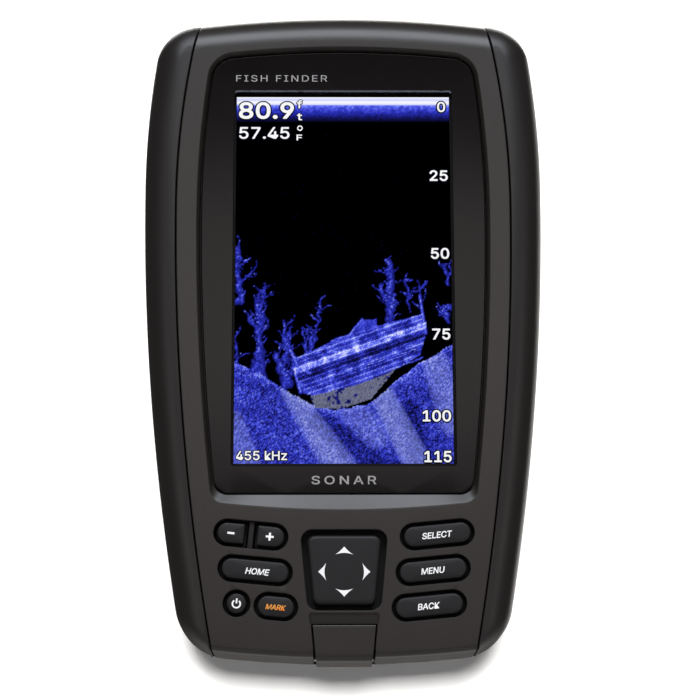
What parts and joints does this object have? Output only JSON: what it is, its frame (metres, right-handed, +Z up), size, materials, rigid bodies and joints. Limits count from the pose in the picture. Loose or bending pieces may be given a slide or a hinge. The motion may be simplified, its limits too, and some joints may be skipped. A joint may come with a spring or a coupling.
{
  "type": "fish finder",
  "caption": "Portrait sonar display head unit with a keypad, a hinged card door at the bottom edge and a rear cradle seat.",
  "frame": {"origin": "centre of the flat rear seat that rests in the quick-release cradle", "axes": "+Z up along the display, +X to the right as the user sees it, +Y out of the back; the display faces -Y"},
  "size_m": [0.1, 0.0446, 0.1655],
  "materials": {
    "charcoal_plastic": "fine-textured charcoal moulding",
    "rail_plastic": "satin black moulding",
    "rear_plastic": "fine-textured black moulding",
    "lens_glass": "clear window with a black printed border",
    "seal_rubber": "moulded silicone",
    "display_panel": "lit colour display",
    "steel": "plain stainless",
    "inner_plastic": "natural moulding",
    "circuit_board": "green solder mask",
    "antenna_ceramic": "unglazed ceramic",
    "ribbon_film": "amber film",
    "key_rubber": "soft-touch key cap with printed legend",
    "card_plastic": "black memory card",
    "contact_brass": "gold-plated contacts in a black insert",
    "label_film": "blank rating film"
  },
  "bodies": {
    "case": {"front_bezel": "charcoal_plastic", "left_side_rail": "rail_plastic", "right_side_rail": "rail_plastic", "rear_housing": "rear_plastic", "display_lens": "lens_glass", "lens_seal": "seal_rubber", "lcd_panel": "display_panel", "backlight_tray": "steel", "display_carrier": "inner_plastic", "main_board": "circuit_board", "board_shield": "steel", "gps_antenna": "antenna_ceramic", "beeper": "inner_plastic", "board_screw_1": "steel", "board_screw_2": "steel", "board_screw_3": "steel", "board_screw_4": "steel", "display_ribbon": "ribbon_film", "keypad_ribbon": "ribbon_film", "keypad_mat": "seal_rubber", "keypad_board": "circuit_board", "pad_pivot_post": "inner_plastic", "door_hinge_pin": "steel", "card_socket": "steel", "case_seal": "seal_rubber", "case_screw_1": "steel", "case_screw_2": "steel", "case_screw_3": "steel", "case_screw_4": "steel", "case_screw_5": "steel", "case_screw_6": "steel", "power_socket": "rear_plastic", "power_contacts": "contact_brass", "power_socket_seal": "seal_rubber", "power_harness": "seal_rubber", "transducer_socket": "rear_plastic", "transducer_contacts": "contact_brass", "transducer_socket_seal": "seal_rubber", "transducer_harness": "seal_rubber", "vent_plug": "seal_rubber", "rating_label": "label_film"},
    "card_door": {"card_door": "charcoal_plastic", "door_seal": "seal_rubber"},
    "memory_card": {"memory_card": "card_plastic"},
    "pad_rocker": {"pad_rocker": "inner_plastic"},
    "direction_pad": {"direction_pad": "key_rubber"},
    "zoom_out_key": {"zoom_out_key": "key_rubber"},
    "zoom_in_key": {"zoom_in_key": "key_rubber"},
    "home_key": {"home_key": "key_rubber"},
    "power_key": {"power_key": "key_rubber"},
    "mark_key": {"mark_key": "key_rubber"},
    "select_key": {"select_key": "key_rubber"},
    "menu_key": {"menu_key": "key_rubber"},
    "back_key": {"back_key": "key_rubber"}
  },
  "joints": [
    {"name": "zoom_out_key_press", "type": "slide", "parent": "case", "child": "zoom_out_key", "axis": [0, 1, 0], "range_m": [0, 0.0007], "stiffness_N_per_m": 1500},
    {"name": "zoom_in_key_press", "type": "slide", "parent": "case", "child": "zoom_in_key", "axis": [0, 1, 0], "range_m": [0, 0.0007], "stiffness_N_per_m": 1500},
    {"name": "home_key_press", "type": "slide", "parent": "case", "child": "home_key", "axis": [0, 1, 0], "range_m": [0, 0.0007], "stiffness_N_per_m": 1500},
    {"name": "power_key_press", "type": "slide", "parent": "case", "child": "power_key", "axis": [0, 1, 0], "range_m": [0, 0.0007], "stiffness_N_per_m": 1500},
    {"name": "mark_key_press", "type": "slide", "parent": "case", "child": "mark_key", "axis": [0, 1, 0], "range_m": [0, 0.0007], "stiffness_N_per_m": 1500},
    {"name": "select_key_press", "type": "slide", "parent": "case", "child": "select_key", "axis": [0, 1, 0], "range_m": [0, 0.0007], "stiffness_N_per_m": 1500},
    {"name": "menu_key_press", "type": "slide", "parent": "case", "child": "menu_key", "axis": [0, 1, 0], "range_m": [0, 0.0007], "stiffness_N_per_m": 1500},
    {"name": "back_key_press", "type": "slide", "parent": "case", "child": "back_key", "axis": [0, 1, 0], "range_m": [0, 0.0007], "stiffness_N_per_m": 1500},
    {"name": "pad_rock_up_down", "type": "hinge", "parent": "case", "child": "pad_rocker", "pos_m": [0, -0.0387, -0.061], "axis": [1, 0, 0], "range_deg": [-2.5, 2.5], "stiffness_Nm_per_rad": 0.6},
    {"name": "pad_rock_left_right", "type": "hinge", "parent": "pad_rocker", "child": "direction_pad", "pos_m": [0, -0.0387, -0.061], "axis": [0, 0, 1], "range_deg": [-2.5, 2.5], "stiffness_Nm_per_rad": 0.6},
    {"name": "card_door_hinge", "type": "hinge", "parent": "case", "child": "card_door", "pos_m": [0, -0.0315, -0.081], "axis": [1, 0, 0], "range_deg": [0, 100]},
    {"name": "memory_card_slide", "type": "slide", "parent": "case", "child": "memory_card", "axis": [0, 0, -1], "range_m": [-0.0008, 0.004]}
  ]
}
